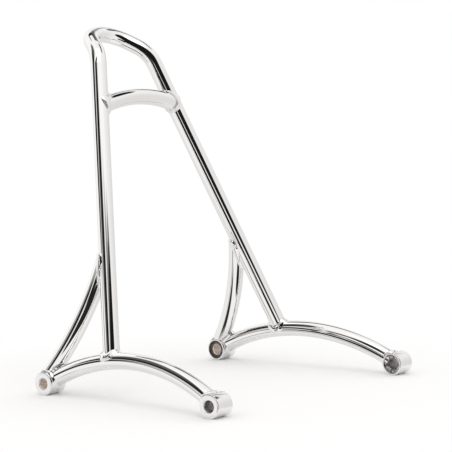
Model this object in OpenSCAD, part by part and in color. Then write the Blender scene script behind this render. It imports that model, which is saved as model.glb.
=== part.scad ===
// Chromed sissy bar for a motorbike: a bent tube hoop on two arched side frames with four bolt bosses.
// +Z is up, -Y is the bike's front, and +X is its left side, as seen by the rider.
// The bar stands on its four bosses. The origin is on the floor under the middle of the bar.
// The skeleton is worked out about the rear bolt axis, and each node is then seated on the floor.

/* [Tube] */
// Outside diameter of every tube
tube_od = 15.9; // [13:0.1:18]
// Wall thickness of every tube
tube_wall = 1.8; // [1.2:0.1:3]

/* [Bosses] */
// Outside diameter of a boss
boss_od = 22.2; // [21:0.1:28]
// Length of a boss along its bolt
boss_len = 19.8; // [17:0.1:26]
// Diameter of the bolt hole
bolt_hole_d = 10.5; // [6:0.1:13]
// Chamfer at each mouth of the bolt hole
hole_chamfer = 0.6; // [0.2:0.1:1]
// Diameter of the shallow register turned into the inner end of a boss
register_d = 18.8; // [16:0.1:19]
// Depth of that register
register_depth = 1.6; // [0.4:0.1:3]
// Chamfer round the outer rim of a boss
rim_chamfer = 0.5; // [0.2:0.1:0.8]

/* [Base] */
// Distance from the rear bolt axis to the front bolt axis
bolt_span = 216; // [190:1:250]
// From the middle plane to the middle of a rear boss
rear_half_w = 129; // [115:1:145]
// From the middle plane to the middle of a front boss
front_half_w = 141; // [125:1:155]
// Rise of a base arc's centreline over the bolt axes, measured in its own plane
arc_rise = 29; // [24:0.5:36]
// Lean of a base arc's plane towards the middle, in degrees
side_lean = 11; // [0:1:16]

/* [Hoop] */
// How far the uprights' feet stand in front of the rear bolt axis
foot_front = 80; // [66:1:96]
// From the middle plane to the upright's centreline at the shoulder, where the hoop kicks rearward
shoulder_half_w = 37.6; // [34:0.1:46]
// Height of the shoulder over the bolt axes
shoulder_h = 313; // [295:1:350]
// How far the shoulder lies behind the rear bolt axis
shoulder_back = 10.9; // [0:0.1:20]
// How far the crown rises over the shoulder
crown_rise = 19; // [15:0.5:26]
// How far the crown lies behind the shoulder
crown_kick = 31.4; // [29:0.1:38]
// Bend radius at the shoulder
shoulder_bend_r = 37; // [30:0.5:40]
// Bend radius of the crown
crown_bend_r = 30; // [26:0.5:31]

/* [Cross arch] */
// Height over the bolt axes at which the cross arch meets the uprights
arch_h = 260.7; // [240:0.1:270]
// Rise of the cross arch in its middle
arch_rise = 8.7; // [5:0.1:16]

/* [Struts] */
// Height of the strut's lower end over the bolt axes
strut_foot_h = 14.4; // [12:0.1:17]
// How far the strut's lower end lies in front of the rear bolt axis
strut_foot_front = 3.5; // [1:0.1:6]
// Height over the bolt axes at which the strut's centreline meets the upright's
strut_top_h = 125.4; // [105:0.1:145]
// Bow of the strut towards the front, off its own chord
strut_bow = 6.9; // [4:0.1:10]
// How far short of the upright's centreline the strut's upper end is cut off square
strut_top_trim = 6.5; // [4:0.1:8]

/* [Weld beads] */
// Leg of a weld bead along the piece that the branch is welded to
bead_leg = 2.5; // [1.5:0.1:3]
// Leg of a weld bead up the branch
bead_height = 2.2; // [1.5:0.1:3]
// How much wider than the tube its cope is cut, for fit-up before welding
cope_gap = 0.2; // [0.1:0.05:0.4]

/* [Hidden] */
$fn = 72;

chrome = [0.86, 0.87, 0.88];
weld_chrome = [0.78, 0.79, 0.80];
tube_id = tube_od - 2 * tube_wall;
cope_od = tube_od + cope_gap;
branch_bead_od = tube_od + 2 * bead_leg;
main_bead_od = tube_od + 2 * bead_height;
boss_bead_od = boss_od + 2 * bead_height;
bead_len = boss_len - 2 * rim_chamfer;
boss_cut_len = 2 * boss_len;
past_arch = 2 * tube_od;
run_out = 2;
facet = 0.01;
lap = 0.5;
draw_down = 0.04;

// Middle of the bounding box along Y, from the front of a front boss to the back of the crown
front_reach = bolt_span + boss_od / 2;
rear_reach = max(boss_od / 2, shoulder_back + crown_kick + tube_od / 2);
seat = [0, (front_reach - rear_reach) / 2, boss_od / 2];

function unit(v) = v / norm(v);
function flip(p) = [-p.x, p.y, p.z];

// Angle that a path turns through at v on its way from a to b, and how far from v its bend starts
function turn(a, v, b) = acos(unit(v - a) * unit(b - v));
function setback(a, v, b, r) = r * tan(turn(a, v, b) / 2);

// Steps in a full turn that keep a chord within facet of a circle of radius r
function steps(r) = ceil(180 / acos(1 - facet / r));

// Side frame of the left side: boss middles, and the plane that the base arc lies in
rear_pin = [rear_half_w, 0, 0];
front_pin = [front_half_w, -bolt_span, 0];
pin_gap = norm(front_pin - rear_pin);
base_dir = unit(front_pin - rear_pin);
base_side = unit(cross(base_dir, [0, 0, 1]));
base_up = unit([0, 0, cos(side_lean)] + base_side * sin(side_lean) * sign(-base_side.x));
arc_r = (pow(pin_gap / 2, 2) + pow(arc_rise, 2)) / (2 * arc_rise);
arc_half = asin(pin_gap / 2 / arc_r);
arc_mid = (rear_pin + front_pin) / 2;
arc_centre = arc_mid + base_up * (arc_rise - arc_r);

// Upright: from its foot on the base arc's centreline to the shoulder. A leg then leans back from each
// shoulder, and the crown is one bend that both legs run into: produced, they would meet at its tip.
foot_along = foot_front / bolt_span * pin_gap - pin_gap / 2;
foot = arc_centre + base_dir * foot_along + base_up * sqrt(pow(arc_r, 2) - pow(foot_along, 2));
shoulder = [shoulder_half_w, shoulder_back, shoulder_h];
crown_up = unit([0, crown_kick, crown_rise]);
crown_drop = norm([crown_kick, crown_rise]) - crown_bend_r;
leg_lean = acos(crown_bend_r / norm([shoulder_half_w, crown_drop])) - atan2(crown_drop, shoulder_half_w);
crown_tip = [0, shoulder_back, shoulder_h] + crown_up * shoulder_half_w / tan(leg_lean);
shoulder_cut = setback(foot, shoulder, crown_tip, shoulder_bend_r);
crown_cut = setback(shoulder, crown_tip, flip(shoulder), crown_bend_r);
function on_upright(h) = foot + (shoulder - foot) * (h - foot.z) / (shoulder.z - foot.z);

// Cross arch: ends on the uprights' centrelines, middle raised
arch_end = on_upright(arch_h);
arch_r = (pow(arch_end.x, 2) + pow(arch_rise, 2)) / (2 * arch_rise);
arch_half = asin(arch_end.x / arch_r);
arch_centre = [0, arch_end.y, arch_h + arch_rise - arch_r];

// Strut: one bend from the rear boss to the upright, in the plane of its chord and the Y axis
strut_low_x = rear_half_w - strut_foot_h * tan(side_lean);
strut_low = [strut_low_x, -strut_foot_front, strut_foot_h];
strut_high = on_upright(strut_top_h);
strut_chord = norm(strut_high - strut_low);
strut_dir = unit(strut_high - strut_low);
strut_out = unit([0, -1, 0] + strut_dir * strut_dir.y);
strut_r = (pow(strut_chord / 2, 2) + pow(strut_bow, 2)) / (2 * strut_bow);
strut_centre = (strut_low + strut_high) / 2 + strut_out * (strut_bow - strut_r);
strut_half = asin(strut_chord / 2 / strut_r);
strut_extra = asin(boss_od / 2 / strut_r);

// Puts children at origin o, with their own X along x and their own Z along z
module at_frame(o, x, z) {
    y = cross(z, x);
    multmatrix([
        [x.x, y.x, z.x, o.x],
        [x.y, y.y, z.y, o.y],
        [x.z, y.z, z.z, o.z],
        [0, 0, 0, 1]
    ]) children();
}

// Solid round bar from a to b
module bar(a, b, d) {
    z = unit(b - a);
    at_frame(a, unit(cross(z, [0, 1, 0])), z) cylinder(h = norm(b - a), d = d);
}

// Solid round bar bent about centre c: it starts out along x and turns towards y
module bent_bar(c, x, y, r, from, to, d) {
    at_frame(c, x * cos(from) + y * sin(from), cross(x, y))
        rotate_extrude(angle = to - from, $fn = steps(r + d / 2))
            translate([r, 0]) circle(d = d);
}

// Bend of radius r that rounds the corner a, v, b
module corner(a, v, b, r, d) {
    into = unit(v - a);
    leave = unit(b - v);
    inward = unit(leave - into * (leave * into));
    start = v - into * setback(a, v, b, r);
    bent_bar(start + inward * r, -inward, into, r, 0, turn(a, v, b), d);
}

// Upright and leg of one side as solid bar of diameter d, with the foot run on by extra. A straight
// stretch laps a short way over the bend beside it, which is drawn down a hair thinner, as bending does.
module hoop_side(d, extra) {
    up = unit(shoulder - foot);
    leg = unit(crown_tip - shoulder);
    bar(foot - up * extra, shoulder - up * (shoulder_cut - lap), d);
    corner(foot, shoulder, crown_tip, shoulder_bend_r, d - draw_down);
    bar(shoulder + leg * (shoulder_cut - lap), crown_tip - leg * (crown_cut - lap), d);
}

module whole_hoop(d, extra) {
    hoop_side(d, extra);
    mirror([1, 0, 0]) hoop_side(d, extra);
    corner(shoulder, crown_tip, flip(shoulder), crown_bend_r, d - draw_down);
}

// Straight upright alone, which the pieces that meet it are coped to
module upright_bar(d) {
    bar(foot, on_upright(arch_h + past_arch), d);
}

module base_bar(d) {
    bent_bar(arc_centre, base_up, base_dir, arc_r, -arc_half, arc_half, d);
}

module arch_bar(d) {
    bent_bar(arch_centre, [0, 0, 1], [1, 0, 0], arch_r, -arch_half, arch_half, d);
}

module strut_bar(d, past_cut = 0) {
    cut_angle = asin((strut_top_trim - past_cut) / strut_r);
    bent_bar(strut_centre, strut_out, strut_dir, strut_r, -strut_half - strut_extra, strut_half - cut_angle, d);
}

module boss_bar(pin, d, len) {
    translate(pin - [len / 2, 0, 0]) rotate([0, 90, 0]) cylinder(h = len, d = d);
}

// Turned boss: rim chamfers, a chamfered bolt hole and a register in its inner end
module boss(pin) {
    r = boss_od / 2;
    half = boss_len / 2;
    floor_x = register_depth - half;
    hole_r = bolt_hole_d / 2;
    translate(pin) rotate([0, 90, 0]) rotate_extrude() polygon([
        [hole_r, half - hole_chamfer],
        [hole_r + hole_chamfer, half],
        [r - rim_chamfer, half],
        [r, half - rim_chamfer],
        [r, rim_chamfer - half],
        [r - rim_chamfer, -half],
        [register_d / 2, -half],
        [register_d / 2, floor_x],
        [hole_r + hole_chamfer, floor_x],
        [hole_r, floor_x + hole_chamfer]
    ]);
}

// Filler metal where a branch meets a main piece: children 0 and 1 are the two, grown by the bead's legs,
// and every further child is cut away
module bead() {
    color(weld_chrome) translate(seat) difference() {
        intersection() {
            children(0);
            children(1);
        }
        for (i = [2 : $children - 1]) children(i);
    }
}

module hoop() {
    color(chrome) translate(seat) difference() {
        whole_hoop(tube_od, 0);
        whole_hoop(tube_id, run_out);
        base_bar(cope_od);
        mirror([1, 0, 0]) base_bar(cope_od);
    }
}

module cross_arch() {
    color(chrome) translate(seat) difference() {
        arch_bar(tube_od);
        arch_bar(tube_id);
        upright_bar(cope_od);
        mirror([1, 0, 0]) upright_bar(cope_od);
    }
}

module left_base_arc() {
    color(chrome) translate(seat) difference() {
        base_bar(tube_od);
        base_bar(tube_id);
        boss_bar(rear_pin, boss_od, boss_cut_len);
        boss_bar(front_pin, boss_od, boss_cut_len);
    }
}

module left_strut() {
    color(chrome) translate(seat) difference() {
        strut_bar(tube_od);
        strut_bar(tube_id);
        boss_bar(rear_pin, boss_od, boss_cut_len);
        base_bar(cope_od);
        upright_bar(cope_od);
    }
}

module left_rear_boss() {
    color(chrome) translate(seat) boss(rear_pin);
}

module left_front_boss() {
    color(chrome) translate(seat) boss(front_pin);
}

module left_foot_bead() {
    bead() {
        upright_bar(branch_bead_od);
        base_bar(main_bead_od);
        upright_bar(cope_od);
        base_bar(tube_od);
    }
}

module left_arch_bead() {
    bead() {
        arch_bar(branch_bead_od);
        upright_bar(main_bead_od);
        arch_bar(cope_od);
        upright_bar(tube_od);
        mirror([1, 0, 0]) upright_bar(main_bead_od);
    }
}

// The strut meets the upright at a slant, so this bead keeps to the strut's side of the upright
module left_strut_top_bead() {
    up = unit(shoulder - foot);
    away = unit(strut_low - strut_high - up * ((strut_low - strut_high) * up));
    bead() {
        strut_bar(branch_bead_od, bead_leg);
        upright_bar(main_bead_od);
        strut_bar(cope_od);
        upright_bar(tube_od);
        at_frame(strut_high, away, up) translate([-strut_chord, -strut_chord / 2, -strut_chord / 2])
            cube(strut_chord);
    }
}

// The base arc and the strut crowd together on the rear boss, so one bead runs round both
module left_rear_bead() {
    color(weld_chrome) translate(seat) difference() {
        union() {
            intersection() {
                base_bar(branch_bead_od);
                boss_bar(rear_pin, boss_bead_od, bead_len);
            }
            intersection() {
                strut_bar(branch_bead_od);
                boss_bar(rear_pin, boss_bead_od, bead_len);
            }
            intersection() {
                strut_bar(branch_bead_od);
                base_bar(main_bead_od);
            }
        }
        base_bar(tube_od);
        strut_bar(cope_od);
        boss_bar(rear_pin, boss_od, boss_cut_len);
    }
}

module left_front_bead() {
    bead() {
        base_bar(branch_bead_od);
        boss_bar(front_pin, boss_bead_od, bead_len);
        base_bar(tube_od);
        boss_bar(front_pin, boss_od, boss_cut_len);
    }
}

// The right side is the left side's mirror image
module right() { mirror([1, 0, 0]) children(); }

hoop();
cross_arch();
left_base_arc();
right() left_base_arc();  // right_base_arc
left_strut();
right() left_strut();  // right_strut
left_rear_boss();
right() left_rear_boss();  // right_rear_boss
left_front_boss();
right() left_front_boss();  // right_front_boss
left_foot_bead();
right() left_foot_bead();  // right_foot_bead
left_arch_bead();
right() left_arch_bead();  // right_arch_bead
left_strut_top_bead();
right() left_strut_top_bead();  // right_strut_top_bead
left_rear_bead();
right() left_rear_bead();  // right_rear_bead
left_front_bead();
right() left_front_bead();  // right_front_bead
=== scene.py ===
import math

import bpy
from mathutils import Matrix, Vector


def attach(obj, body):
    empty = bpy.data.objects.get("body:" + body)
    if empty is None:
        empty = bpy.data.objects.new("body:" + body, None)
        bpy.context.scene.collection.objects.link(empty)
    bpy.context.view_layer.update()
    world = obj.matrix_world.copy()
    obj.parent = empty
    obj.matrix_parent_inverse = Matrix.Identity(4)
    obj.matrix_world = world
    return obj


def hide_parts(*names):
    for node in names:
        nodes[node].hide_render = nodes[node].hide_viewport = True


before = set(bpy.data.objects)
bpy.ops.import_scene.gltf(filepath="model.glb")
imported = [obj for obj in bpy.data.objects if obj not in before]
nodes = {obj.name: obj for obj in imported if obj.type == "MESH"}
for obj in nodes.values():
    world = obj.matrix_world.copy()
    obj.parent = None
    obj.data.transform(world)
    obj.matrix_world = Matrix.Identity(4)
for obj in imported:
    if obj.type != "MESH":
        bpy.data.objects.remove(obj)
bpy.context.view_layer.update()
print("frame loaded:", len(nodes), "nodes")

# Camera: a long lens a good two metres off, a little above the bar's middle, rolled slightly
cameraSet = {
    "place": (-1.4514, -1.2235, 0.3111),
    "pan": 50.51,  # degrees from +Y towards +X
    "tilt": -4.74,
    "roll": -1.32,
    "lens": 155.9,
    "sensor": 36.0,
}


def makeCamera(cfg):
    data = bpy.data.cameras.new("camera")
    data.lens = cfg["lens"]
    data.sensor_width = cfg["sensor"]
    data.clip_start, data.clip_end = 0.05, 50
    cam = bpy.data.objects.new("camera", data)
    bpy.context.scene.collection.objects.link(cam)
    turn = Matrix.Rotation(-math.radians(cfg["pan"]), 4, "Z")
    turn = turn @ Matrix.Rotation(math.radians(90 + cfg["tilt"]), 4, "X")
    turn = turn @ Matrix.Rotation(math.radians(cfg["roll"]), 4, "Z")
    cam.matrix_world = Matrix.Translation(cfg["place"]) @ turn
    bpy.context.scene.camera = cam


makeCamera(cameraSet)
print("camera made")


# Small helpers for node trees
def addNode(tree, kind, **inputs):
    node = tree.nodes.new(kind)
    for name, value in inputs.items():
        node.inputs[name.replace("_", " ")].default_value = value
    return node


def mathNode(tree, operation, *values):
    node = tree.nodes.new("ShaderNodeMath")
    node.operation = operation
    for i, value in enumerate(values):
        if isinstance(value, (int, float)):
            node.inputs[i].default_value = value
        else:
            tree.links.new(value, node.inputs[i])
    return node.outputs[0]


def stepNode(tree, value, start, end, low=0.0, high=1.0):
    node = tree.nodes.new("ShaderNodeMapRange")
    node.interpolation_type = "SMOOTHSTEP"
    names = ("Value", "From Min", "From Max", "To Min", "To Max")
    for name, item in zip(names, (value, start, end, low, high)):
        if isinstance(item, (int, float)):
            node.inputs[name].default_value = item
        else:
            tree.links.new(item, node.inputs[name])
    return node.outputs["Result"]


def mixShaders(tree, factor, first, second):
    node = tree.nodes.new("ShaderNodeMixShader")
    for i, item in enumerate((factor, first, second)):
        tree.links.new(item, node.inputs[i])
    return node.outputs[0]


def seenDirectly(tree, rays):
    return mathNode(tree, "MAXIMUM", rays["Is Camera Ray"], rays["Is Transmission Ray"])


# Studio: white surroundings with a few dark gaps between the soft boxes, which only the chrome mirrors.
# Azimuths are degrees from the camera's side, growing to the camera's right; a value is a brightness.
studioSet = {
    "white": (1.0, 0.99, 0.983, 1),
    "level": 0.92,
    "corner": 2.5,  # power of the gaps' outline: 2 is an ellipse, more is squarer
    "gaps": [
        # azimuth, elevation, half width, half height, slope, softness, value
        (-51.4, 51.1, 107.9, 55.5, 0.01, 0.06, 1.07),
        (170.9, -32.1, 107.1, 43.3, -0.28, 0.44, 0.81),
        (-23, 58.6, 31.4, 6, 0.47, 0.12, 0.14),
        (8.9, 31.2, 23.7, 13.4, -0.11, 0.14, 0.28),
        (-165.6, 49.6, 28.6, 5.3, 0.02, 0.18, 0.01),
        (129.1, 51.1, 21.6, 6.7, 0.16, 0.18, 0.01),
        (170.4, 41.7, 15.3, 5.5, 0.29, 0.82, 0.13),
        (-91, 36.5, 18.5, 18.5, 0.15, 0.08, 0.02),
        (-99.8, 44.7, 19.2, 10.7, 0.13, 0.4, 0.12),
        (-46.2, 35.7, 20.1, 9.8, 0.31, 0.42, 0),
        (-62.8, 28.8, 9.9, 4.2, 0.44, 0.57, 0.09),
        (-71.6, 6.3, 29.9, 9, -0.07, 0.22, 0.02),
        (-63.2, -14.3, 11.7, 8.6, 0.42, 0.12, 0.02),
        (-56.1, -46.5, 22.9, 7.7, -0.59, 0.15, 0.03),
        (39, -49.8, 26.2, 6.8, 0.01, 0.2, 0.01),
        (-81.3, -37.1, 37.7, 2.7, 0.16, 0.13, 0.74),
        (-85.2, -64.7, 8.6, 8.6, -0.4, 0.27, 0.42),
        (-82.2, 8.3, 5.9, 6.3, 0.24, 0.05, 0.73),
        (-21, -4.7, 35.9, 10.7, -0.83, 0.07, 1.03),
        (-2.8, -14.1, 31.2, 9.6, -0.25, 0.08, 0.02),
        (8.1, 19.7, 49.9, 22.2, 0.08, 0.05, 0.01),
    ],
}
gapInputs = ("Middle", "Height", "Half Width", "Half Height", "Slope", "Softness", "Value")


def makeGapGroup(corner):
    group = bpy.data.node_groups.new("studioGap", "ShaderNodeTree")
    for name in ("Below", "Azimuth", "Elevation", *gapInputs):
        group.interface.new_socket(name, in_out="INPUT", socket_type="NodeSocketFloat")
    group.interface.new_socket("Shade", in_out="OUTPUT", socket_type="NodeSocketFloat")
    source = group.nodes.new("NodeGroupInput").outputs
    sink = group.nodes.new("NodeGroupOutput").inputs
    across = mathNode(group, "SUBTRACT", source["Azimuth"], source["Middle"])
    across = mathNode(group, "WRAP", across, 180, -180)
    shift = mathNode(group, "MULTIPLY", across, source["Slope"])
    rise = mathNode(group, "SUBTRACT", source["Elevation"], source["Height"])
    rise = mathNode(group, "SUBTRACT", rise, shift)
    wide = mathNode(group, "ABSOLUTE", mathNode(group, "DIVIDE", across, source["Half Width"]))
    tall = mathNode(group, "ABSOLUTE", mathNode(group, "DIVIDE", rise, source["Half Height"]))
    wide, tall = mathNode(group, "POWER", wide, corner), mathNode(group, "POWER", tall, corner)
    total = mathNode(group, "ADD", wide, tall)
    away = mathNode(group, "POWER", total, 1 / corner)
    outer = mathNode(group, "ADD", 1.0, source["Softness"])
    inner = mathNode(group, "SUBTRACT", 1.0, source["Softness"])
    inside = stepNode(group, away, outer, inner)
    mix = group.nodes.new("ShaderNodeMix")
    group.links.new(inside, mix.inputs[0])
    group.links.new(source["Below"], mix.inputs[2])
    group.links.new(source["Value"], mix.inputs[3])
    group.links.new(mix.outputs[0], sink["Shade"])
    return group


def makeStudio(cfg, pan):
    world = bpy.data.worlds.new("studio")
    bpy.context.scene.world = world
    world.use_nodes = True
    tree = world.node_tree
    tree.nodes.clear()
    coord = tree.nodes.new("ShaderNodeTexCoord")
    parts = tree.nodes.new("ShaderNodeSeparateXYZ")
    tree.links.new(coord.outputs["Generated"], parts.inputs[0])
    heading = mathNode(tree, "DEGREES", mathNode(tree, "ARCTAN2", parts.outputs[1], parts.outputs[0]))
    azimuth = mathNode(tree, "SUBTRACT", heading, 270 - pan)
    elevation = mathNode(tree, "DEGREES", mathNode(tree, "ARCSINE", parts.outputs[2]))
    group = makeGapGroup(cfg["corner"])
    shade = None
    for values in cfg["gaps"]:
        gap = tree.nodes.new("ShaderNodeGroup")
        gap.node_tree = group
        gap.inputs["Below"].default_value = 1.0
        if shade is not None:
            tree.links.new(shade, gap.inputs["Below"])
        tree.links.new(azimuth, gap.inputs["Azimuth"])
        tree.links.new(elevation, gap.inputs["Elevation"])
        for name, value in zip(gapInputs, values):
            gap.inputs[name].default_value = value
        shade = gap.outputs["Shade"]
    rays = tree.nodes.new("ShaderNodeLightPath").outputs
    plain = addNode(tree, "ShaderNodeBackground", Color=cfg["white"], Strength=cfg["level"])
    backdrop = addNode(tree, "ShaderNodeBackground", Color=(1, 1, 1, 1), Strength=1.0)
    mirrored = addNode(tree, "ShaderNodeBackground", Color=cfg["white"])
    tree.links.new(shade, mirrored.inputs["Strength"])
    lit = mixShaders(tree, seenDirectly(tree, rays), plain.outputs[0], backdrop.outputs[0])
    last = mixShaders(tree, rays["Is Glossy Ray"], lit, mirrored.outputs[0])
    out = tree.nodes.new("ShaderNodeOutputWorld")
    tree.links.new(last, out.inputs[0])


makeStudio(studioSet, cameraSet["pan"])
bpy.context.scene.view_settings.view_transform = "Standard"

lampSet = {"place": (-0.4, -0.5, 2.2), "size": 1.4, "power": 6.0, "aim": (0, 0, 0.15)}


def makeLamp(cfg):
    data = bpy.data.lights.new("softBox", "AREA")
    data.shape = "SQUARE"
    data.size = cfg["size"]
    data.energy = cfg["power"]
    lamp = bpy.data.objects.new("softBox", data)
    bpy.context.scene.collection.objects.link(lamp)
    lamp.location = cfg["place"]
    lamp.rotation_euler = (Vector(cfg["aim"]) - Vector(cfg["place"])).to_track_quat("-Z", "Y").to_euler()


makeLamp(lampSet)

# The floor fades to the backdrop's white away from the object, and keeps its shadow. The chrome mirrors the
# floor close by, and the lower half of the studio past it.
floorSet = {
    "size": 4.6,
    "colour": (0.985, 0.985, 0.985, 1),
    "fadeFrom": 0.17,
    "fadeTo": 0.4,
    "nearRay": 0.02,
    "farRay": 0.05,
}


def makeFloor(cfg):
    bpy.ops.object.select_all(action="DESELECT")
    bpy.ops.mesh.primitive_plane_add(size=cfg["size"], location=(0, 0, 0))
    floor = bpy.context.object
    floor.name = "floor"
    mat = bpy.data.materials.new("paleFloor")
    mat.use_nodes = True
    tree = mat.node_tree
    tree.nodes.clear()
    coord = tree.nodes.new("ShaderNodeTexCoord")
    length = tree.nodes.new("ShaderNodeVectorMath")
    length.operation = "LENGTH"
    tree.links.new(coord.outputs["Object"], length.inputs[0])
    away = stepNode(tree, length.outputs["Value"], cfg["fadeFrom"], cfg["fadeTo"])
    rays = tree.nodes.new("ShaderNodeLightPath").outputs
    beyond = stepNode(tree, rays["Ray Length"], cfg["nearRay"], cfg["farRay"])
    white = addNode(tree, "ShaderNodeEmission", Color=(1, 1, 1, 1), Strength=1.0)
    pale = addNode(tree, "ShaderNodeBsdfDiffuse", Color=cfg["colour"])
    clear = tree.nodes.new("ShaderNodeBsdfTransparent")
    faded = mathNode(tree, "MULTIPLY", away, seenDirectly(tree, rays))
    top = mixShaders(tree, faded, pale.outputs[0], white.outputs[0])
    passing = mathNode(tree, "MULTIPLY", beyond, rays["Is Glossy Ray"])
    out = tree.nodes.new("ShaderNodeOutputMaterial")
    tree.links.new(mixShaders(tree, passing, top, clear.outputs[0]), out.inputs[0])
    floor.data.materials.append(mat)


makeFloor(floorSet)
print("studio made")

# Chrome: bright plating over bent tube, with a faint waviness and fine polishing marks
chromeSets = {
    "tubeChrome": {
        "colour": (0.885, 0.878, 0.872), "tint": 0.012, "smooth": 0.02, "rough": 0.045,
        "wave": 0.03, "pitch": 42,  # pitch is the number of waves in a metre
    },
    "bossChrome": {
        "colour": (0.865, 0.858, 0.853), "tint": 0.02, "smooth": 0.14, "rough": 0.22,
        "wave": 0.05, "pitch": 90,
    },
    "weldChrome": {
        "colour": (0.9, 0.894, 0.888), "tint": 0.03, "smooth": 0.04, "rough": 0.1,
        "wave": 0.12, "pitch": 380,
    },
    "archChrome": {
        "colour": (0.9, 0.894, 0.888), "tint": 0.03, "smooth": 0.34, "rough": 0.46,
        "wave": 0.02, "pitch": 380,
    },
}
wearSet = {
    "cloudScale": 28.0,
    "fineScale": 900.0,
    "haze": (0.18, 0.42),
    "grain": 0.006,
}


def makeWearGroup(cfg):
    group = bpy.data.node_groups.new("platingWear", "ShaderNodeTree")
    for name in ("Tint", "Smooth", "Rough", "Pitch"):
        group.interface.new_socket(name, in_out="INPUT", socket_type="NodeSocketFloat")
    group.interface.new_socket("Colour", in_out="INPUT", socket_type="NodeSocketColor")
    group.interface.new_socket("Colour", in_out="OUTPUT", socket_type="NodeSocketColor")
    group.interface.new_socket("Roughness", in_out="OUTPUT", socket_type="NodeSocketFloat")
    group.interface.new_socket("Height", in_out="OUTPUT", socket_type="NodeSocketFloat")
    source = group.nodes.new("NodeGroupInput").outputs
    sink = group.nodes.new("NodeGroupOutput").inputs
    coord = group.nodes.new("ShaderNodeTexCoord")
    cloud = addNode(group, "ShaderNodeTexNoise", Scale=cfg["cloudScale"], Detail=3.0)
    group.links.new(coord.outputs["Object"], cloud.inputs["Vector"])
    fine = addNode(group, "ShaderNodeTexNoise", Scale=cfg["fineScale"], Detail=2.0)
    group.links.new(coord.outputs["Object"], fine.inputs["Vector"])
    swing = mathNode(group, "SUBTRACT", cloud.outputs["Fac"], 0.5)
    swing = mathNode(group, "MULTIPLY", swing, source["Tint"])
    level = mathNode(group, "ADD", 1.0, mathNode(group, "MULTIPLY", swing, 2.0))
    scale = group.nodes.new("ShaderNodeVectorMath")
    scale.operation = "SCALE"
    group.links.new(source["Colour"], scale.inputs[0])
    group.links.new(level, scale.inputs["Scale"])
    group.links.new(scale.outputs[0], sink["Colour"])
    spread = mathNode(group, "SUBTRACT", source["Rough"], source["Smooth"])
    haze = mathNode(group, "MULTIPLY", cloud.outputs["Fac"], fine.outputs["Fac"])
    haze = stepNode(group, haze, *cfg["haze"])
    group.links.new(mathNode(group, "MULTIPLY_ADD", haze, spread, source["Smooth"]), sink["Roughness"])
    wave = addNode(group, "ShaderNodeTexNoise", Detail=1.0)
    group.links.new(source["Pitch"], wave.inputs["Scale"])
    group.links.new(coord.outputs["Object"], wave.inputs["Vector"])
    grain = mathNode(group, "MULTIPLY", fine.outputs["Fac"], cfg["grain"])
    group.links.new(mathNode(group, "ADD", wave.outputs["Fac"], grain), sink["Height"])
    return group


def makeChrome(name, cfg, group):
    mat = bpy.data.materials.new(name)
    mat.use_nodes = True
    tree = mat.node_tree
    shader = tree.nodes["Principled BSDF"]
    shader.inputs["Metallic"].default_value = 1.0
    wear = tree.nodes.new("ShaderNodeGroup")
    wear.node_tree = group
    wear.inputs["Colour"].default_value = (*cfg["colour"], 1)
    for key in ("tint", "smooth", "rough", "pitch"):
        wear.inputs[key.capitalize()].default_value = cfg[key]
    tree.links.new(wear.outputs["Colour"], shader.inputs["Base Color"])
    tree.links.new(wear.outputs["Roughness"], shader.inputs["Roughness"])
    bump = addNode(tree, "ShaderNodeBump", Strength=cfg["wave"], Distance=0.001)
    tree.links.new(wear.outputs["Height"], bump.inputs["Height"])
    tree.links.new(bump.outputs[0], shader.inputs["Normal"])
    return mat


wearGroup = makeWearGroup(wearSet)
chromes = {name: makeChrome(name, cfg, wearGroup) for name, cfg in chromeSets.items()}

# Registers and bolt holes, where the plating is thin and the turned steel shows. The rear bore is near white:
# painted light seen through it, which also cancels its own shade. The rear register is darker and browner;
# the front register is grey with bright flecks, partly painted glints.
rearAxis, frontAxis = (0.0884, 0.0111), (-0.1276, 0.0111)
recessPaintedLightSets = {
    "rearRegister": {
        "low": (0.035, 0.027, 0.021), "high": (0.15, 0.12, 0.098),
        "metal": 0.25, "rough": 0.45, "axis": rearAxis,
    },
    # the front register's bright flecks are partly painted glints
    "frontRegister": {
        "low": (0.03, 0.028, 0.028), "high": (0.75, 0.73, 0.73),
        "metal": 0.8, "rough": 0.35, "axis": frontAxis,
    },
    # painted light: the rear bore's near white stands for light seen through the bore and cancels its own
    # shade
    "rearHole": {
        "low": (0.58, 0.5, 0.44), "high": (0.98, 0.92, 0.86),
        "metal": 0.4, "rough": 0.45, "axis": rearAxis,
    },
    "frontHole": {
        "low": (0.1, 0.09, 0.088), "high": (0.5, 0.47, 0.455),
        "metal": 0.6, "rough": 0.4, "axis": frontAxis,
    },
}
markSet = {
    "ringScale": 1400.0,  # tool marks about the bolt's axis
    "ringShare": 0.45,
    "fleckScale": 480.0,
    "fleckShare": 0.55,
    "colourStep": (0.4, 0.62),
    "roughStep": (0.35, 0.65),
    "roughSpread": 0.1,
}


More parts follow.
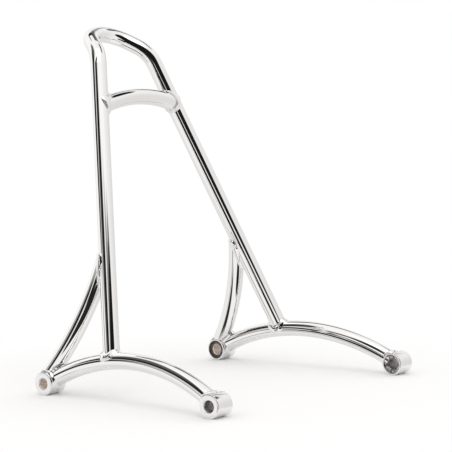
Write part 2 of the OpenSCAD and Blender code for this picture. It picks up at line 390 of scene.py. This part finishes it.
def makeRecess(name, cfg, marks):
    mat = bpy.data.materials.new(name)
    mat.use_nodes = True
    tree = mat.node_tree
    shader = tree.nodes["Principled BSDF"]
    shader.inputs["Metallic"].default_value = cfg["metal"]
    coord = tree.nodes.new("ShaderNodeTexCoord")
    parts = tree.nodes.new("ShaderNodeSeparateXYZ")
    tree.links.new(coord.outputs["Object"], parts.inputs[0])
    back = mathNode(tree, "SUBTRACT", parts.outputs[1], cfg["axis"][0])
    up = mathNode(tree, "SUBTRACT", parts.outputs[2], cfg["axis"][1])
    square = mathNode(tree, "ADD", mathNode(tree, "POWER", back, 2), mathNode(tree, "POWER", up, 2))
    far = mathNode(tree, "SQRT", square)
    rings = addNode(tree, "ShaderNodeTexNoise", Scale=marks["ringScale"], Detail=1.0)
    rings.noise_dimensions = "1D"
    tree.links.new(far, rings.inputs["W"])
    fleck = addNode(tree, "ShaderNodeTexNoise", Scale=marks["fleckScale"], Detail=3.0)
    tree.links.new(coord.outputs["Object"], fleck.inputs["Vector"])
    flecks = mathNode(tree, "MULTIPLY", fleck.outputs["Fac"], marks["fleckShare"])
    mark = mathNode(tree, "MULTIPLY_ADD", rings.outputs["Fac"], marks["ringShare"], flecks)
    # the colour runs from low to high over the tool rings and flecks; this paints the rear bore's light and
    # the front register's glints
    ramp = tree.nodes.new("ShaderNodeMix")
    ramp.data_type = "RGBA"
    ramp.inputs[6].default_value = (*cfg["low"], 1)
    ramp.inputs[7].default_value = (*cfg["high"], 1)
    tree.links.new(stepNode(tree, mark, *marks["colourStep"]), ramp.inputs[0])
    tree.links.new(ramp.outputs[2], shader.inputs["Base Color"])
    spread = marks["roughSpread"]
    rough = stepNode(tree, mark, *marks["roughStep"], cfg["rough"] - spread, cfg["rough"] + spread)
    tree.links.new(rough, shader.inputs["Roughness"])
    bump = addNode(tree, "ShaderNodeBump", Strength=0.3, Distance=0.0002)
    tree.links.new(mark, bump.inputs["Height"])
    tree.links.new(bump.outputs[0], shader.inputs["Normal"])
    return mat


recessesWithPaintedLight = {name: makeRecess(name, cfg, markSet) for name, cfg in recessPaintedLightSets.items()}
print("materials made")

# Skeleton of the bar in millimetres about the rear bolt axis, as in the part's source
skeletonSet = {
    "tubeRadius": 7.95,
    "bossRadius": 11.1,
    "boltSpan": 216.0,
    "rearHalfWidth": 129.0,
    "frontHalfWidth": 141.0,
    "arcRise": 29.0,
    "sideLean": 11.0,
    "footFront": 80.0,
    "shoulder": (37.6, 10.9, 313.0),
    "crownRise": 19.0,
    "crownKick": 31.4,
    "shoulderBend": 37.0,
    "crownBend": 30.0,
    "archHeight": 260.7,
    "archRise": 8.7,
    "strutFootHeight": 14.4,
    "strutFootFront": 3.5,
    "strutTopHeight": 125.4,
    "strutBow": 6.9,
    "strutTrim": 6.5,
    "seat": (0.0, 88.425, 11.1),
}


def flip(v):
    return Vector((-v.x, v.y, v.z))


def findSkeleton(cfg):
    s = {}
    s["rearPin"] = Vector((cfg["rearHalfWidth"], 0, 0))
    s["frontPin"] = Vector((cfg["frontHalfWidth"], -cfg["boltSpan"], 0))
    gap = (s["frontPin"] - s["rearPin"]).length
    s["baseDir"] = (s["frontPin"] - s["rearPin"]).normalized()
    side = s["baseDir"].cross(Vector((0, 0, 1))).normalized()
    lean = math.radians(cfg["sideLean"])
    up = Vector((0, 0, math.cos(lean))) + side * math.sin(lean) * (-1 if side.x > 0 else 1)
    s["baseUp"] = up.normalized()
    s["arcRadius"] = ((gap / 2) ** 2 + cfg["arcRise"] ** 2) / (2 * cfg["arcRise"])
    s["arcHalf"] = math.asin(gap / 2 / s["arcRadius"])
    s["arcCentre"] = (s["rearPin"] + s["frontPin"]) / 2 + s["baseUp"] * (cfg["arcRise"] - s["arcRadius"])
    along = cfg["footFront"] / cfg["boltSpan"] * gap - gap / 2
    s["footAngle"] = math.asin(along / s["arcRadius"])
    height = math.sqrt(s["arcRadius"] ** 2 - along ** 2)
    s["foot"] = s["arcCentre"] + s["baseDir"] * along + s["baseUp"] * height
    s["shoulder"] = Vector(cfg["shoulder"])
    kick = Vector((0, cfg["crownKick"], cfg["crownRise"]))
    drop = kick.length - cfg["crownBend"]
    half = s["shoulder"].x
    legLean = math.acos(cfg["crownBend"] / math.hypot(half, drop)) - math.atan2(drop, half)
    middle = Vector((0, s["shoulder"].y, s["shoulder"].z))
    s["crownTip"] = middle + kick.normalized() * half / math.tan(legLean)
    s["upright"] = (s["shoulder"] - s["foot"]).normalized()

    def onUpright(height):
        low, high = s["foot"], s["shoulder"]
        return low + (high - low) * (height - low.z) / (high.z - low.z)

    s["archEnd"] = onUpright(cfg["archHeight"])
    s["archRadius"] = (s["archEnd"].x ** 2 + cfg["archRise"] ** 2) / (2 * cfg["archRise"])
    s["archHalf"] = math.asin(s["archEnd"].x / s["archRadius"])
    s["archCentre"] = Vector((0, s["archEnd"].y, cfg["archHeight"] + cfg["archRise"] - s["archRadius"]))
    lowX = cfg["rearHalfWidth"] - cfg["strutFootHeight"] * math.tan(lean)
    s["strutLow"] = Vector((lowX, -cfg["strutFootFront"], cfg["strutFootHeight"]))
    s["strutHigh"] = onUpright(cfg["strutTopHeight"])
    chord = s["strutHigh"] - s["strutLow"]
    s["strutDir"] = chord.normalized()
    s["strutOut"] = (Vector((0, -1, 0)) + s["strutDir"] * s["strutDir"].y).normalized()
    s["strutRadius"] = ((chord.length / 2) ** 2 + cfg["strutBow"] ** 2) / (2 * cfg["strutBow"])
    s["strutHalf"] = math.asin(chord.length / 2 / s["strutRadius"])
    s["strutTop"] = s["strutHalf"] - math.asin(cfg["strutTrim"] / s["strutRadius"])
    middle = (s["strutLow"] + s["strutHigh"]) / 2
    s["strutCentre"] = middle + s["strutOut"] * (cfg["strutBow"] - s["strutRadius"])
    return s


skeleton = findSkeleton(skeletonSet)
seat = Vector(skeletonSet["seat"])
metre = 0.001


def place(v):
    return (v + seat) * metre


# Pieces are drawn as rings that are run along a path: straight stretches are extruded, bends are spun
drawSet = {
    "sides": 120,
    "turnStep": 1.0,  # degrees
    "smoothAngle": 35,
    "mergeGap": 0.000005,
}


def startRing(name, spot, direction, radius, sides):
    if bpy.context.object and bpy.context.object.mode != "OBJECT":
        bpy.ops.object.mode_set(mode="OBJECT")
    bpy.ops.object.select_all(action="DESELECT")
    turn = direction.to_track_quat("Z", "Y").to_euler()
    bpy.ops.mesh.primitive_circle_add(
        vertices=sides, radius=radius * metre, location=place(spot), rotation=turn,
    )
    piece = bpy.context.object
    piece.name = name
    bpy.ops.object.transform_apply(location=True, rotation=True, scale=True)
    bpy.ops.object.mode_set(mode="EDIT")
    bpy.ops.mesh.select_all(action="SELECT")
    return piece


def runStraight(vector):
    bpy.ops.mesh.extrude_region_move(TRANSFORM_OT_translate={"value": vector * metre})


def runBend(centre, axis, angle):
    count = max(2, math.ceil(math.degrees(abs(angle)) / drawSet["turnStep"]))
    bpy.ops.mesh.spin(steps=count, angle=-angle, center=place(centre), axis=axis)


def mergeMesh(piece):
    bpy.ops.mesh.select_all(action="SELECT")
    bpy.ops.mesh.remove_doubles(threshold=drawSet["mergeGap"])
    bpy.ops.mesh.normals_make_consistent(inside=False)
    bpy.ops.object.mode_set(mode="OBJECT")
    return piece


def finishPiece(piece):
    bpy.ops.mesh.select_all(action="SELECT")
    bpy.ops.mesh.fill_holes(sides=0)
    mergeMesh(piece)
    bpy.ops.object.shade_smooth_by_angle(angle=math.radians(drawSet["smoothAngle"]))
    return piece


def bentTube(name, corners, bends, radius, sides=drawSet["sides"]):
    ahead = (corners[1] - corners[0]).normalized()
    piece = startRing(name, corners[0], ahead, radius, sides)
    spot = corners[0]
    for before, corner, after, bend in zip(corners, corners[1:], corners[2:], bends):
        into = (corner - before).normalized()
        leave = (after - corner).normalized()
        angle = into.angle(leave)
        reach = bend * math.tan(angle / 2)
        start = corner - into * reach
        runStraight(start - spot)
        inward = (leave - into * leave.dot(into)).normalized()
        runBend(start + inward * bend, into.cross(inward), angle)
        spot = corner + leave * reach
    runStraight(corners[-1] - spot)
    return finishPiece(piece)


def arcPoint(centre, out, ahead, radius, angle):
    return centre + (out * math.cos(angle) + ahead * math.sin(angle)) * radius


def arcTube(name, centre, out, ahead, bend, start, end, radius, sides=drawSet["sides"]):
    direction = ahead * math.cos(start) - out * math.sin(start)
    piece = startRing(name, arcPoint(centre, out, ahead, bend, start), direction, radius, sides)
    runBend(centre, out.cross(ahead), end - start)
    return finishPiece(piece)


def latheRing(name, pin, profile, sides=96):
    # profile: (along X from the pin, radius) points, closed on itself
    along, radius = profile[0]
    piece = startRing(name, pin + Vector((along, 0, 0)), Vector((1, 0, 0)), radius, sides)
    for nextAlong, nextRadius in profile[1:] + profile[:1]:
        spot = place(pin + Vector((nextAlong, 0, 0)))
        runStraight(Vector((nextAlong - along, 0, 0)))
        ratio = nextRadius / radius
        bpy.ops.transform.resize(value=(1, ratio, ratio), center_override=spot)
        along, radius = nextAlong, nextRadius
    return mergeMesh(piece)


def selectOnly(piece):
    bpy.ops.object.select_all(action="DESELECT")
    piece.select_set(True)
    bpy.context.view_layer.objects.active = piece


def copyPiece(piece, name):
    twin = piece.copy()
    twin.data = piece.data.copy()
    twin.name = name
    bpy.context.scene.collection.objects.link(twin)
    return twin


def mirrorPiece(piece, name):
    twin = copyPiece(piece, name)
    selectOnly(twin)
    bpy.ops.object.mode_set(mode="EDIT")
    bpy.ops.mesh.select_all(action="SELECT")
    bpy.ops.transform.resize(value=(-1, 1, 1), center_override=(0, 0, 0))
    bpy.ops.mesh.normals_make_consistent(inside=False)
    bpy.ops.object.mode_set(mode="OBJECT")
    return twin


def applyModifier(piece, kind, **values):
    selectOnly(piece)
    modifier = piece.modifiers.new(kind.lower(), kind)
    for name, value in values.items():
        setattr(modifier, name, value)
    bpy.ops.object.modifier_apply(modifier=modifier.name)


def dress(piece, materials, slotName, *replaced):
    piece.data.materials.clear()
    for mat in materials:
        piece.data.materials.append(mat)
    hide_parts(*replaced)
    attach(piece, "root")


# Tubes: closed skins, whose ends lie in a boss, a weld or another tube
tubeSet = {
    "endTrim": 7.0,  # how far a base tube stops short of the boss's axis
    "cutterSides": 144,
    "cutterHalf": 30.0,
    "cutterInset": 0.1,
}


def makeTubes(cfg, cuts, s):
    radius = cfg["tubeRadius"]
    corners = [s["foot"], s["shoulder"], s["crownTip"], flip(s["shoulder"]), flip(s["foot"])]
    bends = [cfg["shoulderBend"], cfg["crownBend"], cfg["shoulderBend"]]
    hoop = bentTube("hoopTube", corners, bends, radius)
    arch = arcTube(
        "archTube", s["archCentre"], Vector((0, 0, 1)), Vector((1, 0, 0)), s["archRadius"],
        -s["archHalf"], s["archHalf"], radius,
    )
    short = cuts["endTrim"] / s["arcRadius"]
    base = arcTube(
        "leftBaseTube", s["arcCentre"], s["baseUp"], s["baseDir"], s["arcRadius"],
        -s["arcHalf"] + short, s["arcHalf"] - short, radius,
    )
    extra = math.asin(cfg["bossRadius"] / s["strutRadius"])
    strut = arcTube(
        "leftStrutTube", s["strutCentre"], s["strutOut"], s["strutDir"], s["strutRadius"],
        -s["strutHalf"] - extra, s["strutTop"], radius,
    )
    outward = Vector((1, 0, 0))
    start = s["rearPin"] - outward * cuts["cutterHalf"]
    cutter = startRing("cutter", start, outward, cfg["bossRadius"] - cuts["cutterInset"], cuts["cutterSides"])
    runStraight(outward * 2 * cuts["cutterHalf"])
    finishPiece(cutter)
    applyModifier(strut, "BOOLEAN", operation="DIFFERENCE", object=cutter, solver="EXACT")
    bpy.ops.object.shade_smooth_by_angle(angle=math.radians(drawSet["smoothAngle"]))
    bpy.data.objects.remove(cutter, do_unlink=True)
    tube = [chromes["tubeChrome"]]
    for piece, node in ((base, "base_arc"), (strut, "strut")):
        twin = mirrorPiece(piece, piece.name.replace("left", "right"))
        dress(piece, tube, "chromed_tube", "left_" + node)
        dress(twin, tube, "chromed_tube", "right_" + node)
    dress(hoop, tube, "chromed_tube", "hoop")
    dress(arch, tube, "chromed_tube", "cross_arch")


makeTubes(skeletonSet, tubeSet, skeleton)
print("tubes made")

# Bosses: turned, with a register in the inner end; the register and the hole are duller than the plating
bossSet = {
    "half": 9.9,
    "rim": 0.5,
    "registerRadius": 9.4,
    "registerDepth": 1.6,
    "holeRadius": 5.25,
    "lip": 0.6,
    "edge": 0.18,
    "rimSteps": 4,
    "bevelAngle": 25,
    "smoothAngle": 40,
    "holeInset": 0.02,  # the hole's finish stops this far short of its lip
    "registerRim": 0.3,  # the register's finish starts this far in from the boss's end
    "registerSlack": 0.2,  # and it reaches this far past the register's floor
    "wallSlack": 0.05,  # and this far past its wall
}


def makeBosses(cfg, s):
    half, radius, deep = cfg["half"], skeletonSet["bossRadius"], cfg["half"] - cfg["registerDepth"]
    rim, lip, hole, register = cfg["rim"], cfg["lip"], cfg["holeRadius"], cfg["registerRadius"]
    turns = [math.radians(90 / cfg["rimSteps"] * k) for k in range(cfg["rimSteps"] + 1)]
    outerRim = [(half - rim + rim * math.sin(a), radius - rim + rim * math.cos(a)) for a in turns]
    innerRim = [(-x, r) for x, r in reversed(outerRim)]
    profile = outerRim + [
        (half, hole + lip), (half - lip, hole), (lip - deep, hole), (-deep, hole + lip),
        (-deep, register), (-half, register),
    ] + innerRim
    boss = latheRing("leftRearBoss", s["rearPin"], profile)
    edge = cfg["edge"] * metre
    sharp = math.radians(cfg["bevelAngle"])
    applyModifier(boss, "BEVEL", width=edge, segments=3, limit_method="ANGLE", angle_limit=sharp)
    bpy.ops.object.shade_smooth_by_angle(angle=math.radians(cfg["smoothAngle"]))
    front = copyPiece(boss, "leftFrontBoss")
    selectOnly(front)
    bpy.ops.object.mode_set(mode="EDIT")
    bpy.ops.mesh.select_all(action="SELECT")
    bpy.ops.transform.translate(value=(s["frontPin"] - s["rearPin"]) * metre)
    bpy.ops.object.mode_set(mode="OBJECT")
    inner, deepest = cfg["registerRim"] - half, cfg["registerSlack"] - deep
    for piece, pin, node in ((boss, s["rearPin"], "rear_boss"), (front, s["frontPin"], "front_boss")):
        twin = mirrorPiece(piece, piece.name.replace("left", "right"))
        end = node.split("_")[0]
        # the rear bore's colour is painted light, and the front register's flecks are partly painted glints
        finish = [chromes["bossChrome"], recessesWithPaintedLight[end + "Register"], recessesWithPaintedLight[end + "Hole"]]
        for body, side in ((piece, "left_"), (twin, "right_")):
            dress(body, finish, "chromed_boss", side + node)
            for face in body.data.polygons:
                away = face.center / metre - (pin + seat)
                if side == "right_":
                    away = face.center / metre - flip(pin) - seat
                    away.x = -away.x
                across = math.hypot(away.y, away.z)
                if across < hole + lip - cfg["holeInset"]:
                    face.material_index = 2
                elif inner < away.x < deepest and across < register + cfg["wallSlack"]:
                    face.material_index = 1


makeBosses(bossSet, skeleton)
print("bosses made")

# Welds: the joint's stubs and its bead are remeshed into one, so that the filler metal flows into both
weldSet = {
    "under": 0.14,  # how far the stubs lie under the tubes' skin
    "voxel": 0.5,
    "smooth": 42,
    "ripple": 0.02,
    "pitch": 2.6,
    "bulge": 1.0,  # the ripples' path runs this far outside the tube
    "swell": (0.6, 0.4, 3, 1.7),  # mean, swing, waves a turn and phase of the ripples' height
    "sides": 64,
    "ringSides": 96,
    # lengths of the stubs, each from the joint
    "foot": 15,
    "arch": 14,
    "archMain": 15,
    "strutTop": 36,
    "strutTopBelow": 38,
    "strutTopAbove": 30,
    "strutFoot": 24,
    "arcFrom": 8.5,
    "arcTo": 25,
    # the boss's part of a weld: its two ends along the bolt, and its bore's radius
    "ringOuter": 8.5,
    "ringInner": -7.5,
    "ringBore": 7.2,
}
archWeldSet = {**weldSet, "smooth": 50, "ripple": 0.005}


def cleanCopy(node, name):
    twin = copyPiece(nodes[node], name)
    selectOnly(twin)
    bpy.ops.object.mode_set(mode="EDIT")
    return mergeMesh(twin)


def fuseWeld(name, stubs, cfg, spot, axis):
    bpy.ops.object.select_all(action="DESELECT")
    for stub in stubs:
        stub.select_set(True)
    bpy.context.view_layer.objects.active = stubs[0]
    bpy.ops.object.join()
    weld = bpy.context.object
    weld.name = name
    applyModifier(weld, "REMESH", mode="VOXEL", voxel_size=cfg["voxel"] * metre, use_smooth_shade=True)
    applyModifier(weld, "SMOOTH", factor=0.5, iterations=cfg["smooth"])
    # ripples left by the filler, about the branch's axis
    side = axis.orthogonal().normalized()
    other = axis.cross(side)
    middle = place(spot)
    count = round(2 * math.pi * (skeletonSet["tubeRadius"] + cfg["bulge"]) / cfg["pitch"])
    mean, swing, waves, phase = cfg["swell"]
    normals = [v.normal.copy() for v in weld.data.vertices]
    for v, normal in zip(weld.data.vertices, normals):
        away = v.co - middle
        angle = math.atan2(away.dot(other), away.dot(side))
        swell = mean + swing * math.sin(waves * angle + phase)
        v.co += normal * cfg["ripple"] * metre * math.sin(angle * count) * swell
    weld.data.update()
    selectOnly(weld)
    bpy.ops.object.shade_smooth()
    return weld


def makeWelds(cfg, archCfg, s):
    radius = skeletonSet["tubeRadius"] - cfg["under"]
    grow = {"sides": cfg["sides"]}
    welds = []

    stub = bentTube("stub", [s["foot"], s["foot"] + s["upright"] * cfg["foot"]], [], radius, **grow)
    reach = cfg["foot"] / s["arcRadius"]
    main = arcTube(
        "main", s["arcCentre"], s["baseUp"], s["baseDir"], s["arcRadius"],
        s["footAngle"] - reach, s["footAngle"] + reach, radius, **grow,
    )
    bead = cleanCopy("left_foot_bead", "bead")
    welds.append((fuseWeld("leftFootWeld", [stub, main, bead], cfg, s["foot"], s["upright"]), "foot_bead"))

    end = s["archEnd"]
    half = s["upright"] * cfg["archMain"]
    main = bentTube("main", [end - half, end + half], [], radius, **grow)
    reach = cfg["arch"] / s["archRadius"]
    stub = arcTube(
        "stub", s["archCentre"], Vector((0, 0, 1)), Vector((1, 0, 0)), s["archRadius"],
        s["archHalf"] - reach, s["archHalf"], radius, **grow,
    )
    bead = cleanCopy("left_arch_bead", "bead")
    inward = Vector((-math.cos(s["archHalf"]), 0, math.sin(s["archHalf"])))
    welds.append((fuseWeld("leftArchWeld", [stub, main, bead], archCfg, end, inward), "arch_bead"))

    end = s["strutHigh"]
    below, above = s["upright"] * cfg["strutTopBelow"], s["upright"] * cfg["strutTopAbove"]
    main = bentTube("main", [end - below, end + above], [], radius, **grow)
    reach = cfg["strutTop"] / s["strutRadius"]
    stub = arcTube(
        "stub", s["strutCentre"], s["strutOut"], s["strutDir"], s["strutRadius"],
        s["strutTop"] - reach, s["strutTop"], radius, **grow,
    )
    bead = cleanCopy("left_strut_top_bead", "bead")
    weld = fuseWeld("leftStrutTopWeld", [stub, main, bead], cfg, end, s["strutDir"])
    welds.append((weld, "strut_top_bead"))

    outer, bore = skeletonSet["bossRadius"] - cfg["under"], cfg["ringBore"]
    left, right = cfg["ringOuter"], cfg["ringInner"]
    ring = [(left, outer), (left, bore), (right, bore), (right, outer)]
    near, far = cfg["arcFrom"] / s["arcRadius"], cfg["arcTo"] / s["arcRadius"]
    for node, pin, name in (
        ("rear_bead", s["rearPin"], "leftRearWeld"),
        ("front_bead", s["frontPin"], "leftFrontWeld"),
    ):
        main = latheRing("main", pin, ring, cfg["ringSides"])
        stubs = [main, cleanCopy("left_" + node, "bead")]
        if node == "rear_bead":
            span = (-s["arcHalf"] + near, -s["arcHalf"] + far)
            reach = cfg["strutFoot"] / s["strutRadius"]
            stubs.append(arcTube(
                "stub", s["strutCentre"], s["strutOut"], s["strutDir"], s["strutRadius"],
                -s["strutHalf"], -s["strutHalf"] + reach, radius, **grow,
            ))
        else:
            span = (s["arcHalf"] - far, s["arcHalf"] - near)
        stubs.append(arcTube(
            "stub", s["arcCentre"], s["baseUp"], s["baseDir"], s["arcRadius"], *span, radius, **grow,
        ))
        axis = s["baseDir"] if node == "rear_bead" else -s["baseDir"]
        welds.append((fuseWeld(name, stubs, cfg, pin, axis), node))

    for piece, node in welds:
        twin = mirrorPiece(piece, piece.name.replace("left", "right"))
        finish = chromes["archChrome" if node == "arch_bead" else "weldChrome"]
        dress(piece, [finish], "chromed_weld", "left_" + node)
        dress(twin, [finish], "chromed_weld", "right_" + node)


makeWelds(weldSet, archWeldSet, skeleton)
print("welds made")
